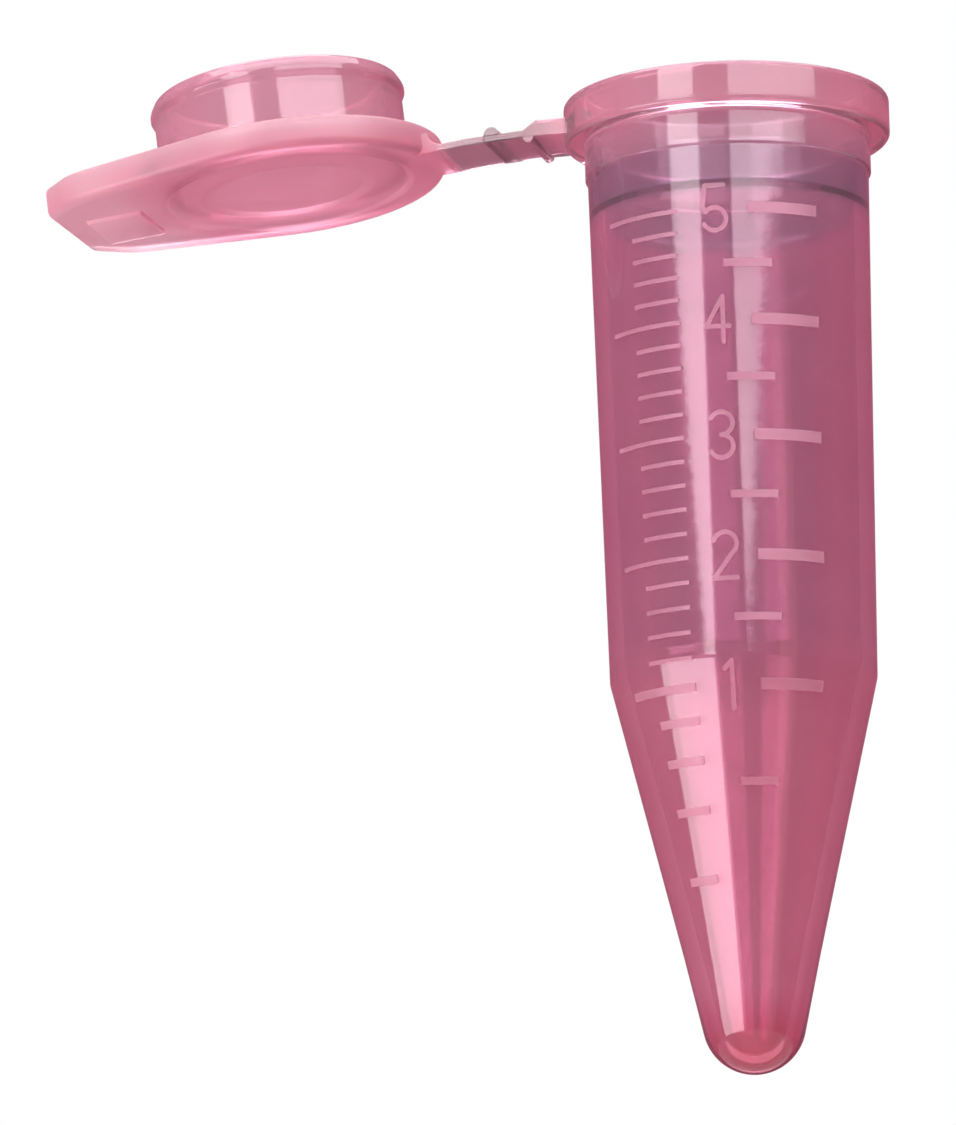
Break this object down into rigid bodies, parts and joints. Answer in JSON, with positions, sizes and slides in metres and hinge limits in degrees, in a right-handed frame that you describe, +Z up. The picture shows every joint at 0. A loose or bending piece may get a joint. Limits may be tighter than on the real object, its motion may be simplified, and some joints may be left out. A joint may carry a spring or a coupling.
{
  "type": "microcentrifuge tube",
  "caption": "Conical sample tube with a rim flange, graduated wall and an attached snap cap on a folding strap; it holds and seals a small volume of liquid.",
  "frame": {"origin": "on the tube's axis, level with the underside of the rim flange, at the top of the collar", "axes": "+Z up the tube's axis and out of the mouth; the strap and the open cap lie toward -X; the scales face -Y"},
  "size_m": [0.0489, 0.0186, 0.0599],
  "materials": {
    "tube_plastic": "translucent pink polypropylene, smooth and slightly hazy",
    "cap_plastic": "translucent pink polypropylene, satin on the outer face",
    "strap_plastic": "translucent pink polypropylene, thin web",
    "frosted_marks": "raised frosted marks of the same plastic"
  },
  "bodies": {
    "tube": {"rim_flange": "tube_plastic", "mouth_collar": "tube_plastic", "barrel_wall": "tube_plastic", "cone_wall": "tube_plastic", "round_tip": "tube_plastic", "strap_stub": "tube_plastic", "stub_rib": "tube_plastic", "coarse_bars_whole": "frosted_marks", "coarse_bars_half": "frosted_marks", "fine_marks_whole": "frosted_marks", "fine_marks_fifth": "frosted_marks", "cone_marks": "frosted_marks", "numeral_5": "frosted_marks", "numeral_4": "frosted_marks", "numeral_3": "frosted_marks", "numeral_2": "frosted_marks", "numeral_1": "frosted_marks"},
    "strap_link": {"link_web": "strap_plastic", "link_rib": "strap_plastic"},
    "cap": {"cap_strap": "strap_plastic", "strap_root": "strap_plastic", "cap_plate": "cap_plastic", "thumb_tab": "cap_plastic", "tab_pad": "cap_plastic", "plug_wall": "cap_plastic", "plug_bead": "cap_plastic"}
  },
  "joints": [
    {"name": "tube_fold", "type": "hinge", "parent": "tube", "child": "strap_link", "pos_m": [-0.01155, 0, 0.00097], "axis": [0, 1, 0], "range_deg": [-45, 93.05], "stiffness_Nm_per_rad": 0.015},
    {"name": "cap_fold", "type": "hinge", "parent": "strap_link", "child": "cap", "pos_m": [-0.01466, 0, 0.0008], "axis": [0, 1, 0], "range_deg": [-45, 93.05], "stiffness_Nm_per_rad": 0.015}
  ],
  "couplings": [
    {"joint": "cap_fold", "follows": "tube_fold", "ratio": 1}
  ]
}
